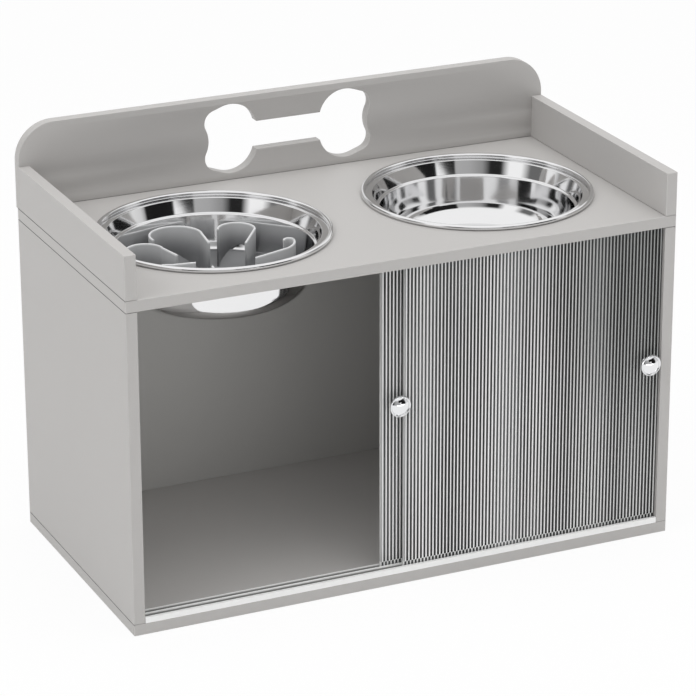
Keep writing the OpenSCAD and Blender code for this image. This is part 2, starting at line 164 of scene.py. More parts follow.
def laminateFinish(name, low, high):
    look = laminateLook
    finish = Finish("laminate_" + name, Specular_IOR_Level=0.35, IOR=1.47)
    place = finish.place()
    cloud = finish.noise(place, look["cloud"], 2)
    speckle = finish.noise(place, look["speckle"], 2, 0.6)
    grain = finish.noise(finish.place(look["grain"]), 3, 3, 0.6)
    shares = look["shares"]
    colour = finish.blend(cloud * shares[0] + speckle * shares[1] + grain * shares[2], look["shade"], look["face"])
    near = edgeDistances(finish, low, high)
    # a painted highlight: each edge of the board is painted lighter, and is a little less rough there
    edgeHighlight = edgeBand(near, look["bandWidth"] * mm)
    colour = finish.blend(edgeHighlight * look["edgeHighlightShare"], colour, look["edge"])
    # where two boards meet, the line between their chamfers is painted dark: painted shade in the groove between
    # the boards
    lying = high[2] - low[2] < 2 * cabinet["board"] * mm
    side = near[0] if lying else near[0].atMost(near[1])
    height, = finish.parts(place, 2)
    joint = None
    for z in boardJoints:
        away = abs(height - z * mm)
        joint = away if joint is None else joint.atMost(away)
    width = look["jointWidth"] * mm
    joint = 1 - side.atLeast(joint).between(width / 3, width)
    colour = finish.blend(joint * look["jointShadeShare"], colour, look["joint"])
    roughness = look["roughness"] + (speckle - 0.5) * 0.12 - edgeHighlight * 0.1
    skin = finish.noise(place, look["skin"], 2, 0.55)
    return finish.wear(Base_Color=colour, Roughness=roughness,
                       Normal=finish.bump(skin, 0.12, look["skinDepth"] * mm))


metalLook = {"cloud": 14, "fine": 60, "dull": 0.95, "depth": 0.1}


def metalFinish(name, colour, roughness, spread, grainScale=(1, 1, 1), strength=0.02):
    look = metalLook
    finish = Finish(name, Metallic=1.0)
    place = finish.place()
    cloud = finish.noise(place, look["cloud"], 3)
    fine = finish.noise(finish.place(grainScale), look["fine"], 2)
    tone = finish.blend(cloud, [c * look["dull"] for c in colour[:3]] + [1], colour)
    return finish.wear(Base_Color=tone, Roughness=roughness + (fine - 0.5) * spread + (cloud - 0.5) * spread,
                       Normal=finish.bump(fine, strength, look["depth"] * mm))


saucerLook = {"light": (0.30, 0.303, 0.31, 1), "dark": (0.26, 0.263, 0.27, 1), "cloud": 20, "fine": 1200,
              "roughness": 0.32, "depth": 0.1}


def saucerPlastic():
    look = saucerLook
    finish = Finish("insert_saucer")
    place = finish.place()
    cloud = finish.noise(place, look["cloud"], 3)
    fine = finish.noise(place, look["fine"], 2)
    return finish.wear(Base_Color=finish.blend(cloud, look["dark"], look["light"]),
                       Roughness=look["roughness"] + (fine - 0.5) * 0.1,
                       Normal=finish.bump(fine, 0.06, look["depth"] * mm))


beechLook = {"dark": (0.42, 0.27, 0.15, 1), "light": (0.66, 0.5, 0.33, 1), "rings": (300, 300, 12),
             "flecks": (900, 900, 60), "roughness": 0.5, "depth": 0.2}


def beechFinish():
    look = beechLook
    finish = Finish("beech")
    rings = finish.noise(finish.place(look["rings"]), 1.2, 4, 0.6)
    flecks = finish.noise(finish.place(look["flecks"]), 1.0, 2)
    return finish.wear(Base_Color=finish.blend(rings, look["dark"], look["light"]),
                       Roughness=look["roughness"] + (flecks - 0.5) * 0.2,
                       Normal=finish.bump(flecks, 0.2, look["depth"] * mm))


rearLook = {"dark": (0.455, 0.45, 0.437, 1), "light": (0.49, 0.484, 0.47, 1), "weave": (900, 900, 900), "cloud": 9,
            "shares": (0.7, 0.3), "roughness": 0.55, "depth": 0.2}


def rearFinish():
    look = rearLook
    finish = Finish("rear_foil", Specular_IOR_Level=0.3)
    weave = finish.noise(finish.place(look["weave"]), 1.0, 3, 0.6)
    cloud = finish.noise(finish.place(), look["cloud"], 3)
    shares = look["shares"]
    tone = finish.blend(cloud * shares[0] + weave * shares[1], look["dark"], look["light"])
    return finish.wear(Base_Color=tone, Roughness=look["roughness"] + (weave - 0.5) * 0.2,
                       Normal=finish.bump(weave, 0.2, look["depth"] * mm))


trackLook = {"rib": (0.95, 0.95, 0.945, 1), "groove": (0.36, 0.36, 0.355, 1), "lip": 3.4, "height": 6,
             "lipFade": 0.4, "grooveFrom": 1.6, "grooveTo": 0.4, "fine": 1200, "roughness": 0.3, "depth": 0.1}
trackTop = cabinet["board"] + trackLook["height"]


def trackFinish():
    # white extrusion whose two grooves are painted grey: painted shade in the grooves
    look = trackLook
    finish = Finish("white_track", Specular_IOR_Level=0.5)
    place = finish.place()
    depth, height = finish.parts(place, 1, 2)
    lipBack = frontY + look["lip"]
    behind = depth.between((lipBack - look["lipFade"]) * mm, lipBack * mm)
    sunk = 1 - height.between((trackTop - look["grooveFrom"]) * mm, (trackTop - look["grooveTo"]) * mm)
    fine = finish.noise(place, look["fine"], 2)
    return finish.wear(Base_Color=finish.blend(behind * sunk, look["rib"], look["groove"]),
                       Roughness=look["roughness"] + (fine - 0.5) * 0.1,
                       Normal=finish.bump(fine, 0.06, look["depth"] * mm))


# dim, the lit band and high in metres, from the door's left edge or from the floor; the colours are a painted
# highlight on the crests and painted shade in the valleys
acrylicLook = {"crest": (0.97, 0.97, 0.965, 1), "dimCrest": (0.36, 0.37, 0.365, 1),
               "valley": (0.008, 0.009, 0.0085, 1), "litValley": (0.17, 0.175, 0.18, 1),
               "crestAlpha": 0.95, "valleyAlpha": 0.8, "roughness": 0.12, "crestFrom": 0.7, "crestTo": 0.92,
               "dim": (0.1, 0.3), "dimEvery": 0.04, "dimHigh": 0.16, "dimRight": 0.33, "dimRightHigh": 0.36,
               "high": (0.1, 0.33), "highRight": (0.06, 0.26), "cloudShare": 0.8,
               "litBandAt": 0.117, "litBandHalf": 0.014, "litBandShare": 0.7,
               "cutEdge": (0.3, 1.2), "cutShare": 0.62, "dotsHigh": 4.2, "dotsFade": 0.4}


def acrylicFinish(name, left, pitch):
    # clear ribbed sheet: each rib's crest is painted light and its valley painted dark, a painted highlight and
    # painted shade in place of refraction
    look = acrylicLook
    finish = Finish(name, IOR=1.49, Specular_IOR_Level=0.2)
    x, height = finish.parts(finish.place(), 0, 2)
    across = x - left
    # in a row of dots above the track the painted stripes shift by half a rib, as the ribs would bend the track's
    # image
    dotsTop = trackTop + look["dotsHigh"]
    dots = 1 - height.between((dotsTop - look["dotsFade"]) * mm, dotsTop * mm)
    crest = abs((across * (math.pi / pitch) + dots * (math.pi / 2)).sine())
    streak = finish.noise(finish.place((1, 1, 0.01)), 26, 2)
    cloud = finish.noise(finish.place((1, 1, 0.25), (0.3, 0, 0)), 9, 2)
    lit = (crest + (streak - 0.5) * 0.3).between(look["crestFrom"], look["crestTo"])
    # near the door's left edge the stripes are painted light
    cutFrom, cutTo = look["cutEdge"]
    lit = lit.atLeast((1 - across.between(cutFrom * mm, cutTo * mm)) * look["cutShare"])
    # painted shade: the doors are painted darker towards the right and the top, with cloudy patches, in place of
    # the bowls' shadow and of what lies behind them
    away = (look["dimEvery"] + height.between(*look["high"]) * look["dimHigh"] + across.between(*look["dim"])
            * (look["dimRight"] + look["dimRightHigh"] * height.between(*look["highRight"])))
    dim = (away + (cloud - 0.45) * look["cloudShare"]).between(0, 1)
    # painted light in the valleys: in cloudy patches and in a band a little way in from the door's left edge
    litBand = 1 - abs(across - look["litBandAt"]).between(look["litBandHalf"] / 2, look["litBandHalf"] * 1.5)
    bright = finish.blend(dim, look["crest"], look["dimCrest"])
    valleyLight = (cloud.between(0.52, 0.75) + litBand * look["litBandShare"]).atMost(1)
    dark = finish.blend(valleyLight, look["valley"], look["litValley"])
    alpha = look["valleyAlpha"] + lit * (look["crestAlpha"] - look["valleyAlpha"])
    return finish.wear(Base_Color=finish.blend(lit, dark, bright), Alpha=alpha,
                       Roughness=look["roughness"] + streak * 0.08)


steelFinish = metalFinish("polished_steel", (0.86, 0.86, 0.865, 1), 0.07, 0.03, (1, 1, 14))
chromeFinish = metalFinish("chrome_plate", (0.84, 0.845, 0.855, 1), 0.05, 0.02)
zincFinish = metalFinish("zinc_plate", (0.60, 0.61, 0.62, 1), 0.34, 0.12, strength=0.1)
saucerFinish = saucerPlastic()


# Mesh helpers

def linked(thing):
    bpy.context.scene.collection.objects.link(thing)
    return thing


def finishedObject(name, mesh, material, sharpAngle=None):
    thing = linked(bpy.data.objects.new(name, mesh))
    mesh.materials.clear()
    mesh.materials.append(material)
    if sharpAngle is not None:
        mesh.shade_smooth()
        mesh.set_sharp_from_angle(angle=math.radians(sharpAngle))
    return thing


def filleted(points, radii, steps):
    # a polyline with each corner between its ends rounded to its radius
    line = [points[0]]
    for before, corner, after, radius in zip(points, points[1:], points[2:], radii):
        b, c, a = Vector(before), Vector(corner), Vector(after)
        toBefore, toAfter = (b - c).normalized(), (a - c).normalized()
        half = toBefore.angle(toAfter) / 2
        reach = radius / math.tan(half)
        centre = c + (toBefore + toAfter).normalized() * radius / math.sin(half)
        first, last = c + toBefore * reach - centre, c + toAfter * reach - centre
        sweep = first.angle_signed(last)
        for i in range(steps + 1):
            turn = -sweep * i / steps
            line.append((centre.x + first.x * math.cos(turn) - first.y * math.sin(turn),
                         centre.y + first.x * math.sin(turn) + first.y * math.cos(turn)))
    line.append(points[-1])
    return line


def offsetLine(line, distance):
    # the line moved to the right of its way, with mitred corners; one that starts on the axis stays on it
    moved = []
    for i, point in enumerate(line):
        a = Vector(line[max(i - 1, 0)])
        b = Vector(line[min(i + 1, len(line) - 1)])
        here = Vector(point)
        ways = [w.normalized() for w in (here - a, b - here) if w.length > 1e-9]
        normals = [Vector((w.y, -w.x)) for w in ways]
        normal = sum(normals, Vector((0, 0))).normalized()
        moved.append(tuple(here + normal * distance / max(normal.dot(normals[0]), 0.6)))
    if line[0][0] == 0:
        moved[0] = (0, moved[0][1])
    return moved


def arcLine(centre, radius, start, end, steps):
    # start and end in degrees
    angles = [math.radians(start + (end - start) * i / steps) for i in range(steps + 1)]
    return [(centre[0] + radius * math.cos(a), centre[1] + radius * math.sin(a)) for a in angles]


def meshOf(shape, name):
    # a bmesh as a plain mesh; the bmesh is freed
    mesh = bpy.data.meshes.new(name)
    shape.to_mesh(mesh)
    shape.free()
    return mesh


def lathe(name, profile, material, segments=192, sharpAngle=40, turn=None):
    # turns a profile of radius and height about +Z; ends on the axis become poles
    shape = bmesh.new()
    rings = []
    for radius, height in profile:
        if radius < 1e-6:
            rings.append([shape.verts.new((0, 0, height * mm))])
        else:
            rings.append([shape.verts.new((radius * mm * math.cos(2 * math.pi * i / segments),
                                           radius * mm * math.sin(2 * math.pi * i / segments),
                                           height * mm)) for i in range(segments)])
    for lower, upper in zip(rings, rings[1:]):
        for i in range(segments):
            j = (i + 1) % segments
            corners = [lower[i % len(lower)], lower[j % len(lower)], upper[j % len(upper)], upper[i % len(upper)]]
            shape.faces.new(list(dict.fromkeys(corners)))
    bmesh.ops.remove_doubles(shape, verts=shape.verts, dist=1e-7)
    bmesh.ops.recalc_face_normals(shape, faces=shape.faces)
    if turn is not None:
        bmesh.ops.transform(shape, matrix=turn, verts=shape.verts)
    return finishedObject(name, meshOf(shape, name), material, sharpAngle)


def bakedMesh(thing, name):
    # the evaluated shape as a plain mesh
    evaluated = thing.evaluated_get(bpy.context.evaluated_depsgraph_get())
    mesh = bpy.data.meshes.new_from_object(evaluated)
    mesh.name = name
    return mesh


class Tree:
    # a Geometry Nodes tree with named inputs
    def __init__(self, name, inputs):
        self.group = bpy.data.node_groups.new(name, "GeometryNodeTree")
        face = self.group.interface
        self.sockets = {}
        for title, kind in inputs.items():
            self.sockets[title] = face.new_socket(title, in_out="INPUT", socket_type=kind).identifier
        face.new_socket("Geometry", in_out="OUTPUT", socket_type="NodeSocketGeometry")
        self.source = self.group.nodes.new("NodeGroupInput")
        self.result = self.group.nodes.new("NodeGroupOutput")

    def given(self, title):
        return self.source.outputs[title]

    def node(self, kind, values=None, **settings):
        node = self.group.nodes.new(kind)
        for key, value in settings.items():
            setattr(node, key, value)
        for key, value in (values or {}).items():
            if isinstance(value, bpy.types.NodeSocket):
                self.group.links.new(value, node.inputs[key])
            else:
                node.inputs[key].default_value = value
        return node

    def maths(self, operation, a, b=0.0):
        return self.node("ShaderNodeMath", {0: a, 1: b}, operation=operation).outputs[0]

    def close(self, geometry, material):
        real = self.node("GeometryNodeRealizeInstances", {"Geometry": geometry}).outputs[0]
        dressed = self.node("GeometryNodeSetMaterial", {"Geometry": real, "Material": material}).outputs[0]
        self.group.links.new(dressed, self.result.inputs[0])

    def run(self, name, mesh, values):
        # gives the tree a carrier, sets its inputs, and returns the finished plain mesh
        carrier = linked(bpy.data.objects.new(name + "_carrier", mesh))
        modifier = carrier.modifiers.new(name, "NODES")
        modifier.node_group = self.group
        for title, value in values.items():
            modifier[self.sockets[title]] = value
        carrier.update_tag()
        bpy.context.view_layer.update()
        made = bakedMesh(carrier, name)
        carrier.modifiers.remove(modifier)
        bpy.data.objects.remove(carrier)
        return made


# Camera

# angles in degrees, distance and target in metres
cameraSet = {"focalPixels": 3374.4, "imageWidth": 696, "sensor": 36, "azimuth": -24.606, "elevation": 21.23,
             "roll": -0.139, "distance": 3.5, "target": (0.0021, 0.0, 0.20205), "sees": 50}


def placeCamera():
    c = cameraSet
    azimuth, elevation, roll = (math.radians(c[angle]) for angle in ("azimuth", "elevation", "roll"))
    back = Vector((math.sin(azimuth) * math.cos(elevation), -math.cos(azimuth) * math.cos(elevation),
                   math.sin(elevation)))
    right = Vector((math.cos(azimuth), math.sin(azimuth), 0))
    up = back.cross(right)
    rightTurned = right * math.cos(roll) + up * math.sin(roll)
    upTurned = up * math.cos(roll) - right * math.sin(roll)
    data = bpy.data.cameras.new("camera")
    data.sensor_width = c["sensor"]
    data.lens = c["focalPixels"] / c["imageWidth"] * c["sensor"]
    data.clip_end = c["sees"]
    camera = linked(bpy.data.objects.new("camera", data))
    turn = Matrix((rightTurned, upTurned, back)).transposed().to_4x4()
    camera.matrix_world = Matrix.Translation(Vector(c["target"]) + back * c["distance"]) @ turn
    bpy.context.scene.camera = camera


placeCamera()
print("camera placed")


# Boards and the pieces that keep their solid shape

def dress(name, material):
    nodes[name].data.materials.clear()
    nodes[name].data.materials.append(material)


for name in ("bottom_board", "left_side_panel", "right_side_panel", "top_board",
             "left_side_guard", "right_side_guard"):
    dress(name, laminateFinish(name, *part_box(name)))
dress("rear_panel", rearFinish())
dress("lower_track", trackFinish())
dress("panel_dowels", beechFinish())
for name in ("cam_locks", "cam_bolts", "left_knob_screw", "right_knob_screw"):
    dress(name, zincFinish)
print("boards dressed")


# Back guard with its bone cut-out

guardShape = {"height": 90, "cornerRadius": 40, "edgeRound": 0.6, "steps": 28, "sharpAngle": 35,
              "boneLength": 190, "boneHeight": 75, "shaft": 30.5, "lobe": 30, "horn": 14, "notch": 30,
              "lobeOut": 0.5, "hornDrop": 4.5, "screwHeights": (12, 34), "screwHole": 3.75, "holeSides": 32}


def boneOutline():
    # a quarter from the shaft round the lobe and the horn into the end's notch, mirrored twice
    g, n = guardShape, guardShape["steps"]
    lobeU, lobeV = g["boneLength"] / 2 - g["lobe"] + g["lobeOut"], g["boneHeight"] / 2 - g["lobe"]
    hornU, hornV = g["boneLength"] / 2 - g["horn"], g["boneHeight"] / 2 - g["horn"] - g["hornDrop"]
    apart = (hornU - lobeU, lobeV - hornV)
    shaftAngle = -180 + math.degrees(math.asin((g["shaft"] / 2 - lobeV) / g["lobe"]))
    tangent = (math.degrees(math.atan2(apart[1], apart[0]))
               - math.degrees(math.acos((g["lobe"] - g["horn"]) / math.hypot(*apart))))
    hollow = math.degrees(math.asin(hornV / (g["horn"] + g["notch"])))
    hollowU = hornU + (g["horn"] + g["notch"]) * math.cos(math.radians(hollow))
    quarter = (arcLine((lobeU, -lobeV), g["lobe"], shaftAngle, tangent, n)
               + arcLine((hornU, -hornV), g["horn"], tangent, hollow, n)
               + arcLine((hollowU, 0), g["notch"], 180 + hollow, 180, n)[1:])
    half = quarter + [(x, -y) for x, y in reversed(quarter[:-1])]
    return half + [(-x, -y) for x, y in half]


def plateFromOutlines(name, outlines, thickness, edgeRound, material):
    # a flat curve with thickness and rounded edges, turned upright to face the front
    curve = bpy.data.curves.new(name, "CURVE")
    curve.dimensions = "2D"
    curve.fill_mode = "BOTH"
    curve.extrude = (thickness / 2 - edgeRound) * mm
    curve.bevel_depth = edgeRound * mm
    curve.bevel_resolution = 2
    curve.offset = -edgeRound * mm
    for outline in outlines:
        spline = curve.splines.new("POLY")
        spline.points.add(len(outline) - 1)
        for point, (x, z) in zip(spline.points, outline):
            point.co = (x * mm, z * mm, 0, 1)
        spline.use_cyclic_u = True
    flat = linked(bpy.data.objects.new(name + "_flat", curve))
    mesh = bakedMesh(flat, name)
    bpy.data.objects.remove(flat)
    mesh.transform(Matrix.Rotation(math.radians(90), 4, "X"))
    shape = bmesh.new()
    shape.from_mesh(mesh)
    bmesh.ops.remove_doubles(shape, verts=shape.verts, dist=1e-6)
    bmesh.ops.recalc_face_normals(shape, faces=shape.faces)
    shape.to_mesh(mesh)
    shape.free()
    return finishedObject(name, mesh, material, guardShape["sharpAngle"])


def makeBackGuard():
    g = guardShape
    corner = (halfWidth - g["cornerRadius"], g["height"] - g["cornerRadius"])
    rightCorner = arcLine(corner, g["cornerRadius"], 0, 90, g["steps"])
    outline = [(-halfWidth, 0), (halfWidth, 0)] + rightCorner + [(-x, z) for x, z in reversed(rightCorner)]
    bone = [(x, z + g["height"] / 2) for x, z in boneOutline()]
    n = g["holeSides"]
    holes = [arcLine((side * panelMid, z), g["screwHole"], 0, 360 * (n - 1) / n, n - 1)
             for side in (-1, 1) for z in g["screwHeights"]]
    guard = plateFromOutlines("back_guard_board", [outline, bone] + holes, cabinet["board"], g["edgeRound"],
                              laminateFinish("back_guard", *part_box("back_guard")))
    guard.data.transform(Matrix.Translation((0, (guardRearY - cabinet["board"] / 2) * mm,
                                             cabinet["height"] * mm)))
    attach(guard, "cabinet")
    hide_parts("back_guard")


makeBackGuard()
print("back guard made")


# Bowls

bowlShape = {"rim": 121, "bead": 2.6, "sheet": 0.8, "depth": 64, "ledgeDepth": 14, "ledgeWidth": 3,
             "ledgeFall": 1, "draft": 8, "floorRadius": 28, "seat": 7.6, "holeGap": 1, "coneIn": 4.5,
             "sideGap": 19, "softEdge": 1.2, "cornerSteps": 14, "beadSteps": 30, "beadFrom": 222}
bowlX = innerHalf - bowlShape["sideGap"] - bowlShape["rim"]
bowlY = (frontY + guardFrontY) / 2
holeRadius = bowlShape["rim"] - bowlShape["bead"] - bowlShape["seat"]
neckRadius = holeRadius - bowlShape["holeGap"] - bowlShape["sheet"]
ledgeRadius = neckRadius - bowlShape["coneIn"] - bowlShape["ledgeWidth"]
seatRadius = bowlShape["rim"] - 2 * bowlShape["bead"]


def bowlLine():
    # the inside from the middle of the floor to the flat by the rim
    b = bowlShape
    wall = (b["depth"] - b["ledgeDepth"] - b["ledgeFall"]) * math.tan(math.radians(b["draft"]))
    soft = b["softEdge"]
    return filleted([(0, -b["depth"]), (ledgeRadius - wall, -b["depth"]),
                     (ledgeRadius, -b["ledgeDepth"] - b["ledgeFall"]),
                     (neckRadius - b["coneIn"], -b["ledgeDepth"]), (neckRadius, b["sheet"]),
                     (seatRadius, b["sheet"])],
                    [b["floorRadius"], soft, soft, soft * 0.75], b["cornerSteps"])


def makeBowl(side, x):
    b = bowlShape
    inner = bowlLine()
    outer = offsetLine(inner, b["sheet"])
    bead = arcLine((b["rim"] - b["bead"], b["bead"]), b["bead"], b["beadFrom"], -90, b["beadSteps"])
    bowl = lathe(side + "_steel_bowl", inner + bead + outer[::-1], steelFinish,
                 turn=Matrix.Translation((x * mm, bowlY * mm, cabinet["height"] * mm)))
    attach(bowl, side + "_bowl")
    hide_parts(side + "_bowl")


for side, x in (("left", -bowlX), ("right", bowlX)):
    makeBowl(side, x)
print("bowls made")


# Slow-feeder insert

insertShape = {"gap": 0.5, "wall": 2, "saucerHeight": 14, "rimSteps": 10, "finTop": 21, "finWidth": 2.4,
               "finSteps": 36, "tailSteps": 8, "capAngles": (25, 50, 70, 84), "sharpAngle": 50,
               "finNames": ("rear", "rear_right", "rear_left", "front_left", "front", "right"),
               # a fin's section: share of its half width, and how far below its top; None is the saucer
               "finSection": ((-1, None), (-1, 0.8), (-0.75, 0.24), (-0.3, 0), (0.3, 0), (0.75, 0.24),
                              (1, 0.8), (1, None)),
               # x, y, radius, first angle, last angle, tail's end x and y, drawn for this ledge radius
               "ledgeFor": 102,
               "fins": ((-14, 68, 27, -15, 190, 8, 32), (50, 60, 19, -30, 160, 42, 16),
                        (-60, 38, 19, -5, 185, -36, 10), (-62, -30, 19, 55, 240, -28, -18),
                        (2, -68, 24, 160, 350, -16, -36), (61, 10, 30, -75, -10, 34, -30),
                        (85.5, 5.8, 5, -10, 170, 90.4, 4.9))}


finLook = {"deep": (0.15, 0.152, 0.158, 1), "high": (0.54, 0.545, 0.55, 1), "rim": (0.8, 0.805, 0.81, 1),
           "rimDown": (2.2, 0.5), "rimHighlightShare": 0.85, "fadeDown": 30, "fadeShare": 0.75, "cloud": 24, "fine": 1200,
           "roughness": 0.3, "depth": 0.1}


def finFinish(top):
    # smoky translucent plastic, lighter towards the fins' top, with a painted highlight along their rim
    look = finLook
    finish = Finish("insert_fins")
    place = finish.place()
    cloud = finish.noise(place, look["cloud"], 3)
    fine = finish.noise(place, look["fine"], 2)
    height, = finish.parts(place, 2)
    rim = height.between(*((top - down) * mm for down in look["rimDown"]))
    risen = height.between((top - look["fadeDown"]) * mm, top * mm)
    share = look["fadeShare"]
    tone = finish.blend(cloud * (1 - share) + risen * share, look["deep"], look["high"])
    return finish.wear(Base_Color=finish.blend(rim * look["rimHighlightShare"], tone, look["rim"]),
                       Roughness=look["roughness"] + (fine - 0.5) * 0.1,
                       Normal=finish.bump(fine, 0.05, look["depth"] * mm))


def clippedBelow(line, height):
    # the part of a line from the floor's middle up to a height
    kept = []
    for point in line:
        if point[1] > height:
            last = kept[-1]
            share = (height - last[1]) / (point[1] - last[1])
            return kept + [(last[0] + (point[0] - last[0]) * share, height)]
        kept.append(point)
    return kept


def heightAt(line, radius):
    # the line's height at a radius, or at its end past that
    for a, b in zip(line, line[1:]):
        if a[0] <= radius <= b[0]:
            return a[1] + (b[1] - a[1]) * (radius - a[0]) / max(b[0] - a[0], 1e-9)
    return line[-1][1]


def finSections(fin, scale):
    # places along a fin with the way across it and half its width; both ends are round
    s = insertShape
    x, y, radius, first, last, tailX, tailY = (v if i in (3, 4) else v * scale for i, v in enumerate(fin))
    arc = arcLine((x, y), radius, first, last, s["finSteps"])
    tail, start = Vector((tailX, tailY)), Vector(arc[0])
    path = [tail.lerp(start, i / s["tailSteps"]) for i in range(s["tailSteps"])] + [Vector(p) for p in arc]
    half = s["finWidth"] / 2
    sections = []
    for i, point in enumerate(path):
        way = (path[min(i + 1, len(path) - 1)] - path[max(i - 1, 0)]).normalized()
        sections.append((point, Vector((-way.y, way.x)), half))
    angles = [math.radians(angle) for angle in s["capAngles"]]
    for sign in (-1, 1):
        point, across, _ = sections[0 if sign < 0 else -1]
        way = Vector((across.y, -across.x)) * sign
        caps = [(point + way * half * math.sin(a), across, half * math.cos(a)) for a in angles]
        sections = caps[::-1] + sections if sign < 0 else sections + caps
    return sections


def makeInsert():
    s = insertShape
    skin = offsetLine(bowlLine(), -s["gap"])
    inside = offsetLine(bowlLine(), -s["gap"] - s["wall"])
    top = -bowlShape["depth"] + s["gap"] + s["saucerHeight"] - s["wall"] / 2
    outerWall, innerWall = clippedBelow(skin, top), clippedBelow(inside, top)
    middle = ((outerWall[-1][0] + innerWall[-1][0]) / 2, top)
    rim = arcLine(middle, (outerWall[-1][0] - innerWall[-1][0]) / 2, 0, 180, s["rimSteps"])
    lift = cabinet["height"] - s["gap"]
    place = Matrix.Translation((-bowlX * mm, bowlY * mm, lift * mm))
    saucer = lathe("insert_saucer_dish", outerWall + rim[1:-1] + innerWall[::-1], saucerFinish, turn=place)
    footLine = offsetLine(bowlLine(), -s["gap"] - s["wall"] / 2)
    shape = bmesh.new()
    for fin in s["fins"]:
        rings = []
        for point, across, half in finSections(fin, ledgeRadius / s["ledgeFor"]):
            ring = []
            for side, down in s["finSection"]:
                at = point + across * half * side
                z = heightAt(footLine, at.length) if down is None else s["gap"] - s["finTop"] - down
                ring.append(shape.verts.new((at.x * mm, at.y * mm, z * mm)))
            rings.append(ring)
        corners = len(s["finSection"])
        for before, after in zip(rings, rings[1:]):
            for i in range(corners):
                j = (i + 1) % corners
                shape.faces.new((before[i], before[j], after[j], after[i]))
        shape.faces.new(rings[0])
        shape.faces.new(rings[-1])
    bmesh.ops.recalc_face_normals(shape, faces=shape.faces)
    bmesh.ops.transform(shape, matrix=place, verts=shape.verts)
    fins = finishedObject("insert_fins", meshOf(shape, "insert_fins"), finFinish(cabinet["height"] - s["finTop"]),
                          s["sharpAngle"])
    for piece in (saucer, fins):
        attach(piece, "slow_feeder")
    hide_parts("insert_saucer")
    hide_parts(*["insert_" + where + "_fin" for where in s["finNames"]])


makeInsert()
print("insert made")


# Fluted doors

doorShape = {"ribs": 75, "steps": 12, "ribHeight": 1.2, "sharpAngle": 45}


def flutedSheetTree():
    # a grid whose front follows half waves, with a flat back and closed edges
    tree = Tree("flutedSheet", {"Geometry": "NodeSocketGeometry", "Width": "NodeSocketFloat",
                                "Height": "NodeSocketFloat", "Thickness": "NodeSocketFloat",
                                "Rib Height": "NodeSocketFloat", "Ribs": "NodeSocketInt",
                                "Steps": "NodeSocketInt", "Finish": "NodeSocketMaterial"})
    width, height, ribs = (tree.given(title) for title in ("Width", "Height", "Ribs"))
    columns = tree.maths("ADD", tree.maths("MULTIPLY", ribs, tree.given("Steps")), 1.0)
    grid = tree.node("GeometryNodeMeshGrid", {"Size X": width, "Size Y": height,
                                              "Vertices X": columns, "Vertices Y": 2}).outputs["Mesh"]
    at = tree.node("ShaderNodeSeparateXYZ", {0: tree.node("GeometryNodeInputPosition").outputs[0]})
    along = tree.maths("ADD", tree.maths("DIVIDE", at.outputs[0], width), 0.5)
    turns = tree.maths("MULTIPLY", tree.maths("MULTIPLY", along, ribs), math.pi)
    wave = tree.maths("ABSOLUTE", tree.maths("SINE", turns))
    hollow = tree.maths("MULTIPLY", tree.maths("SUBTRACT", 1.0, wave), tree.given("Rib Height"))
    upright = tree.node("ShaderNodeCombineXYZ", {
        0: tree.maths("MULTIPLY", along, width), 1: hollow,
        2: tree.maths("ADD", at.outputs[1], tree.maths("MULTIPLY", height, 0.5))}).outputs[0]
    front = tree.node("GeometryNodeSetPosition", {"Geometry": grid, "Position": upright}).outputs[0]
    grown = tree.node("GeometryNodeExtrudeMesh", {"Mesh": front, "Offset Scale": 0.0, "Individual": False},
                      mode="FACES")
    placeNow = tree.node("ShaderNodeSeparateXYZ", {0: tree.node("GeometryNodeInputPosition").outputs[0]})
    rear = tree.node("ShaderNodeCombineXYZ", {0: placeNow.outputs[0], 1: tree.given("Thickness"),
                                              2: placeNow.outputs[2]}).outputs[0]
    back = tree.node("GeometryNodeSetPosition", {"Geometry": grown.outputs["Mesh"],
                                                 "Selection": grown.outputs["Top"], "Position": rear}).outputs[0]
    join = tree.node("GeometryNodeJoinGeometry")
    tree.group.links.new(front, join.inputs[0])
    tree.group.links.new(back, join.inputs[0])
    closed = tree.node("GeometryNodeMergeByDistance", {"Geometry": join.outputs[0], "Distance": 1e-6}).outputs[0]
    tree.close(closed, tree.given("Finish"))
    return tree


def makeDoors():
    d = doorShape
    tree = flutedSheetTree()
    for side in ("left", "right"):
        low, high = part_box(side + "_door")
        width, thickness, height = (b - a for a, b in zip(low, high))
        material = acrylicFinish(side + "_acrylic", low[0], width / d["ribs"])
        mesh = tree.run(side + "_fluted_door", bpy.data.meshes.new("start"), {
            "Width": width, "Height": height, "Thickness": thickness, "Rib Height": d["ribHeight"] * mm,
            "Ribs": d["ribs"], "Steps": d["steps"], "Finish": material})
        shape = bmesh.new()
        shape.from_mesh(mesh)
        bmesh.ops.recalc_face_normals(shape, faces=shape.faces)
        bmesh.ops.transform(shape, matrix=Matrix.Translation(low), verts=shape.verts)
        shape.to_mesh(mesh)
        shape.free()
        door = finishedObject(side + "_fluted_door", mesh, material, d["sharpAngle"])
        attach(door, side + "_door")
        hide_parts(side + "_door")


makeDoors()
print("doors made")


# Knobs

knobShape = {"radius": 11.5, "out": 15, "neck": 4, "foot": 1, "footHeight": 1.5, "neckLength": 8.8,
             "underIn": 2.5, "underFall": 1.2, "domeHeight": 3.4, "domeIn": 2, "domeSteps": 16,
             # points over the head's rim: out from its radius, and up from the dome's foot
             "rim": ((-0.5, -1.1), (0, -0.4), (-0.3, 0.5), (-1.0, 0.8), (-1.6, 0.4)),
             "rounding": (0.3, 0.6, 1.2, 1.0, 0.8, 0.4, 0.3, 0.25, 0.15), "cornerSteps": 5,
             "segments": 96, "sharpAngle": 50}


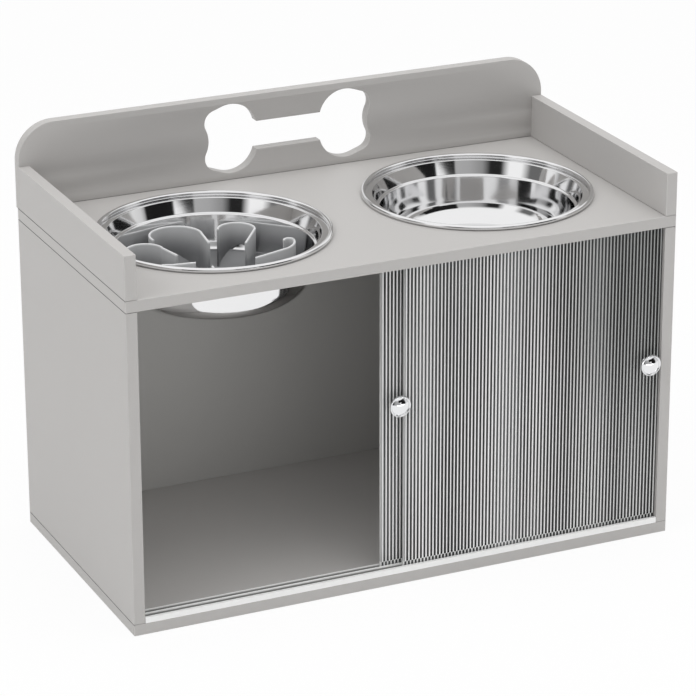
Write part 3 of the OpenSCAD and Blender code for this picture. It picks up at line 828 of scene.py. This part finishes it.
def makeKnobs():
    k = knobShape
    footZ = k["out"] - k["domeHeight"]
    domeRadius = k["radius"] - k["domeIn"]
    corners = [(0, 0), (k["neck"] + k["foot"], 0), (k["neck"], k["footHeight"]), (k["neck"], k["neckLength"]),
               (k["radius"] - k["underIn"], k["neckLength"] + k["underFall"])]
    corners += [(k["radius"] + out, footZ + up) for out, up in k["rim"]] + [(domeRadius, footZ)]
    under = filleted(corners, k["rounding"], k["cornerSteps"])
    # a cap of a ball, from its foot to just before the pole; the last step is the pole
    steepest = 2 * math.atan(k["domeHeight"] / domeRadius)
    ball = domeRadius / math.sin(steepest)
    slopes = [steepest * i / k["domeSteps"] for i in range(k["domeSteps"] - 1, -1, -1)]
    dome = [(ball * math.sin(slope), k["out"] - ball * (1 - math.cos(slope))) for slope in slopes]
    for side in ("left", "right"):
        low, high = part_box(side + "_knob")
        place = (Matrix.Translation(((low[0] + high[0]) / 2, high[1], (low[2] + high[2]) / 2))
                 @ Matrix.Rotation(math.radians(90), 4, "X"))
        knob = lathe(side + "_chrome_knob", under + dome, chromeFinish, k["segments"], k["sharpAngle"], place)
        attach(knob, side + "_door")
        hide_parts(side + "_knob")


makeKnobs()
print("knobs made")


# Countersunk screws

screwShape = {"headScale": 1.9, "slot": 1.0, "slotDepth": 1.2, "headEdge": (0.15, 0.12), "segments": 40,
              "sharpAngle": 30,
              "base": {"radius": 2.5, "length": 40}, "guard": {"radius": 1.9, "length": 32},
              "rear": {"radius": 1.5, "length": 16}, "rearColumns": 4, "rearIn": 7,
              "baseY": 100, "sideGuardY": 75}


def screwRowTree():
    tree = Tree("screwRow", {"Geometry": "NodeSocketGeometry", "Screw": "NodeSocketObject",
                             "Turn": "NodeSocketRotation", "Finish": "NodeSocketMaterial"})
    points = tree.node("GeometryNodeMeshToPoints", {"Mesh": tree.given("Geometry")}).outputs[0]
    screw = tree.node("GeometryNodeObjectInfo", {"Object": tree.given("Screw")},
                      transform_space="ORIGINAL").outputs["Geometry"]
    row = tree.node("GeometryNodeInstanceOnPoints", {"Points": points, "Instance": screw,
                                                     "Rotation": tree.given("Turn")}).outputs[0]
    tree.close(row, tree.given("Finish"))
    return tree


def screwPattern(name, radius, length):
    # one screw along +Z with its head at the origin, and a cross cut into the head
    s = screwShape
    head, edge = s["headScale"] * radius, s["headEdge"]
    profile = [(0, 0), (head - edge[0], 0), (head, edge[1]), (radius, head - radius), (radius, length - radius),
               (radius / 4, length), (0, length)]
    screw = lathe(name, profile, zincFinish, s["segments"], s["sharpAngle"])
    shape = bmesh.new()
    for turn in (0, 90):
        box = bmesh.ops.create_cube(shape, size=1)["verts"]
        size = Matrix.Diagonal((2 * radius * mm, s["slot"] * mm, 2 * s["slotDepth"] * mm, 1))
        bmesh.ops.transform(shape, matrix=Matrix.Rotation(math.radians(turn), 4, "Z") @ size, verts=box)
    cross = linked(bpy.data.objects.new(name + "_cross", meshOf(shape, name + "_cross")))
    cut = screw.modifiers.new("cross", "BOOLEAN")
    cut.object = cross
    cut.solver = "EXACT"
    cut.use_self = True
    bpy.context.view_layer.update()
    made = bakedMesh(screw, name)
    screw.modifiers.clear()
    screw.data = made
    bpy.data.objects.remove(cross)
    return screw


def makeScrews():
    s = screwShape
    tree = screwRowTree()
    x, z0 = halfWidth - s["rearIn"], s["rearIn"]
    rearPlaces = [(-x + 2 * x * i / (s["rearColumns"] - 1), guardRearY, z)
                  for z in (z0, cabinet["height"] - z0) for i in range(s["rearColumns"])]
    rearPlaces += [(side * x, guardRearY, cabinet["height"] / 2) for side in (-1, 1)]
    sides = [(a, b) for a in (-1, 1) for b in (-1, 1)]
    # each row's kind of screw, places, and turn about X in degrees
    rows = {
        "base_screws": ("base", [(a * panelMid, b * s["baseY"], 0) for a, b in sides], 0),
        "side_guard_screws": ("guard", [(a * panelMid, b * s["sideGuardY"], underZ) for a, b in sides], 0),
        "back_guard_screws": ("guard", [(a * panelMid, guardRearY, cabinet["height"] + z)
                                        for a in (-1, 1) for z in guardShape["screwHeights"]], 90),
        "rear_panel_screws": ("rear", rearPlaces, 90)}
    for name, (kind, places, turn) in rows.items():
        pattern = screwPattern(kind + "_screw_pattern", s[kind]["radius"], s[kind]["length"])
        points = bpy.data.meshes.new(name + "_places")
        points.from_pydata([(a * mm, b * mm, c * mm) for a, b, c in places], [], [])
        mesh = tree.run(name + "_row", points, {"Screw": pattern, "Turn": (math.radians(turn), 0.0, 0.0),
                                                "Finish": zincFinish})
        bpy.data.objects.remove(pattern)
        row = finishedObject(name + "_row", mesh, zincFinish, s["sharpAngle"])
        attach(row, "cabinet")
        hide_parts(name)


makeScrews()
print("screws made")


# Stage: floor, world and lamps

# sizes in metres; what metal shows goes by how far round a ray leaves, a whole turn being 1, and how high
stageSet = {"softBoxes": ((0.0, 0.45), (0.05, 0.42), (0.09, 0.3), (0.115, 0.02), (0.15, 0.02), (0.175, 1.0),
                          (0.215, 1.0), (0.245, 0.15), (0.285, 0.15), (0.305, 0.9), (0.335, 0.9),
                          (0.365, 0.1), (0.42, 0.15), (0.45, 0.75), (0.49, 0.75), (0.53, 0.8), (0.60, 0.8),
                          (0.64, 0.95), (0.69, 0.9), (0.725, 0.3), (0.77, 0.35), (0.80, 0.8), (0.83, 0.7),
                          (0.855, 0.12), (0.905, 0.15), (0.93, 1.0), (0.965, 1.0), (0.985, 0.5)),
            # low, high, start and end of each dark patch that domed chrome shows
            "darkPatches": ((-0.02, 0.12, 0.0, 0.15), (0.12, 0.28, 0.062, 0.15), (0.28, 0.56, 0.0, 0.13)),
            "patchGrey": 0.012, "patchBlur": (0.008, 0.01),
            "ceilingFrom": 0.46, "ceilingTo": 0.62, "groundGrey": 0.8, "groundFrom": -0.12, "groundTo": 0.05,
            "floorSize": 8.0, "floorDown": 0.0003, "floorWhite": 0.92, "floorGlow": 0.93,
            "front": 0.54, "rear": 0.68, "frontTo": -0.6, "rearFrom": 0.3,
            # name, place, aim, size, watts, and whether metal shows it
            "lamps": (("key", (-2.6, -0.55, 2.6), (0, 0, 0.2), (2.2, 2.2), 26, False),
                      ("top", (0.3, -0.3, 2.8), (0, 0, 0.2), (2.4, 2.4), 29, False),
                      ("card", (0.3, -1.3, 0.13), (0, 0, 0.2), (1.4, 0.22), 1.5, True),
                      ("bay", (-0.14, -0.1, 0.272), (-0.14, 0.05, 0.03), (0.26, 0.06), 0.12, False))}


def grey(value):
    return (value, value, value, 1)


def makeFloor():
    st = stageSet
    half, z = st["floorSize"] / 2, -st["floorDown"]
    mesh = bpy.data.meshes.new("floor")
    mesh.from_pydata([(-half, -half, z), (half, -half, z), (half, half, z), (-half, half, z)], [], [(0, 1, 2, 3)])
    floor = Finish("floor", Base_Color=grey(st["floorWhite"]), Roughness=0.9, Specular_IOR_Level=0.0)
    # the camera, metal and clear pieces see it nearly white, and it keeps the object's shadow
    seen, mirrored, through = (floor.add("ShaderNodeLightPath", out=ray) for ray in (
        "Is Camera Ray", "Is Glossy Ray", "Is Transmission Ray"))
    share = (seen + mirrored + through).atMost(1) * st["floorGlow"]
    glow = floor.add("ShaderNodeEmission", None, {"Color": grey(1), "Strength": 1.0})
    mixed = floor.add("ShaderNodeMixShader", None, {0: share, 1: Wire(floor, floor.shader.outputs[0]), 2: glow})
    output = next(n for n in floor.tree.nodes if n.type == "OUTPUT_MATERIAL")
    floor.tree.links.new(mixed.socket, output.inputs["Surface"])
    finishedObject("floor", mesh, floor.material)


def makeWorld():
    st = stageSet
    world = bpy.data.worlds.new("studio")
    bpy.context.scene.world = world
    world.use_nodes = True
    studio = Finish.__new__(Finish)
    studio.tree = world.node_tree
    studio.tree.nodes.clear()
    output = studio.tree.nodes.new("ShaderNodeOutputWorld")
    east, north, up = studio.parts(studio.add("ShaderNodeTexCoord", out="Generated"), 0, 1, 2)
    # soft boxes and the dark gaps between them, as polished metal shows them
    bearing = east.maths("ARCTAN2", east, north) / (2 * math.pi) + 0.5
    boxes = studio.add("ShaderNodeValToRGB", {"stops": [(at, grey(g)) for at, g in st["softBoxes"]]}, [bearing])
    mirrored = studio.blend(up.between(st["ceilingFrom"], st["ceilingTo"]), boxes, grey(1))
    mirrored = studio.blend(up.between(st["groundFrom"], st["groundTo"]), grey(st["groundGrey"]), mirrored)
    facing = east.maths("ARCTAN2", east, 0 - north) / (2 * math.pi)
    aside, above = st["patchBlur"]
    for low, high, start, end in st["darkPatches"]:
        beside = facing.between(start - aside, start) * (1 - facing.between(end, end + aside))
        level = up.between(low - above, low) * (1 - up.between(high, high + above))
        mirrored = studio.blend(beside * level, mirrored, grey(st["patchGrey"]))
    plain = studio.blend(north.between(st["frontTo"], st["rearFrom"]), grey(st["front"]), grey(st["rear"]))
    colour = studio.blend(studio.add("ShaderNodeLightPath", out="Is Glossy Ray"), plain, mirrored)
    colour = studio.blend(studio.add("ShaderNodeLightPath", out="Is Camera Ray"), colour, grey(1))
    ground = studio.add("ShaderNodeBackground", None, {"Color": colour, "Strength": 1.0})
    studio.tree.links.new(ground.socket, output.inputs["Surface"])


def makeLamps():
    for name, place, aim, size, power, mirrored in stageSet["lamps"]:
        data = bpy.data.lights.new(name, "AREA")
        data.shape = "ELLIPSE"
        data.size, data.size_y = size
        data.energy = power
        lamp = linked(bpy.data.objects.new(name, data))
        lamp.location = place
        lamp.rotation_euler = (Vector(aim) - Vector(place)).to_track_quat("-Z", "Y").to_euler()
        lamp.visible_camera = False
        lamp.visible_glossy = mirrored
        lamp.visible_transmission = False


makeFloor()
makeWorld()
makeLamps()
bpy.context.scene.view_settings.view_transform = "Standard"
print("stage made")
